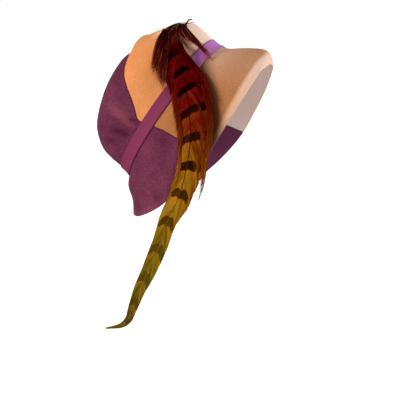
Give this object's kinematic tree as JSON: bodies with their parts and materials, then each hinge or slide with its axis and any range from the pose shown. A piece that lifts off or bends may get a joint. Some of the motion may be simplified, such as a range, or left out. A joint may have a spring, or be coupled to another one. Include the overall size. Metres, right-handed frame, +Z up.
{
  "type": "wool felt hat",
  "caption": "Wool felt cloche in peach and purple panels, with a flared brim, a grosgrain ribbon band and a barred pheasant-tail plume that hangs past the rim.",
  "frame": {"origin": "where the head bears inside the top of the crown, on the inner face of the felt", "axes": "+X to the wearer's front, +Y to the wearer's left, +Z up as the hat is worn, tipped back by 54.5 degrees"},
  "size_m": [0.2228, 0.2015, 0.3823],
  "materials": {
    "felt_peach": "matt wool felt",
    "felt_purple": "matt wool felt",
    "ribbon": "ribbed grosgrain with a slight sheen",
    "tail_feather": "barred feather, satin",
    "hackle_feather": "soft feather, satin"
  },
  "bodies": {
    "root": {"crown_front": "felt_peach", "crown_back": "felt_purple", "brim_front": "felt_peach", "brim_back": "felt_purple", "ribbon_band": "ribbon", "tail_plume": "tail_feather", "hackle_tuft": "hackle_feather"}
  },
  "joints": []
}
